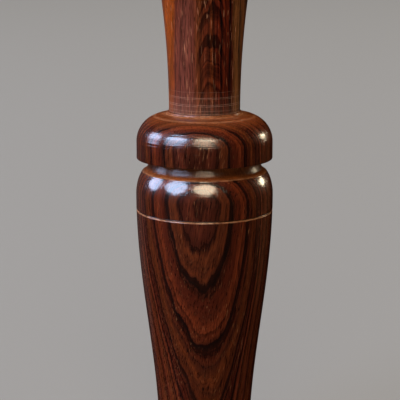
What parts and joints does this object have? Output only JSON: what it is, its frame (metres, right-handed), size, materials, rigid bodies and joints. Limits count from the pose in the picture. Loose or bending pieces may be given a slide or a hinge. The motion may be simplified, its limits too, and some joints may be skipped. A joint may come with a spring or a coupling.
{
  "type": "duck call",
  "caption": "Turned wooden duck call: tapered barrel with lanyard groove and collar, flared stem, tone board, reeds, cork wedge and rubber rings.",
  "frame": {"origin": "centre of the rim at the mouth end of the barrel, which the call can stand on", "axes": "+Z along the call's axis, from the mouth end to the bell end of the stem; -Y is the side that the reeds face"},
  "size_m": [0.033, 0.033, 0.142],
  "materials": {
    "barrel_wood": "gloss",
    "stem_wood": "gloss",
    "tone_board_plastic": "satin",
    "ring_rubber": "matte",
    "cork": "matte",
    "reed_film": "satin"
  },
  "bodies": {
    "barrel": {"barrel": "barrel_wood"},
    "o_rings": {"front_o_ring": "ring_rubber", "rear_o_ring": "ring_rubber"},
    "insert": {"stem": "stem_wood", "tone_board": "tone_board_plastic", "wedge_cork": "cork", "lower_reed_tail": "reed_film", "upper_reed_tail": "reed_film"},
    "lower_reed": {"lower_reed_blade": "reed_film"},
    "upper_reed": {"upper_reed_blade": "reed_film"}
  },
  "joints": [
    {"name": "stem_pull", "type": "slide", "parent": "barrel", "child": "o_rings", "axis": [0, 0, 1], "range_m": [0, 0.062]},
    {"name": "stem_twist", "type": "hinge", "parent": "o_rings", "child": "insert", "pos_m": [0, 0, 0.085], "axis": [0, 0, 1], "continuous": true},
    {"name": "upper_reed_flex", "type": "hinge", "parent": "insert", "child": "upper_reed", "pos_m": [0, -0.00289, 0.06899], "axis": [1, 0, 0], "range_deg": [-0.8, 2.3], "stiffness_Nm_per_rad": 0.017},
    {"name": "lower_reed_flex", "type": "hinge", "parent": "insert", "child": "lower_reed", "pos_m": [0, -0.00252, 0.06899], "axis": [1, 0, 0], "range_deg": [-0.8, 2.3], "stiffness_Nm_per_rad": 0.0058}
  ],
  "couplings": [
    {"joint": "lower_reed_flex", "follows": "upper_reed_flex", "ratio": 1}
  ]
}
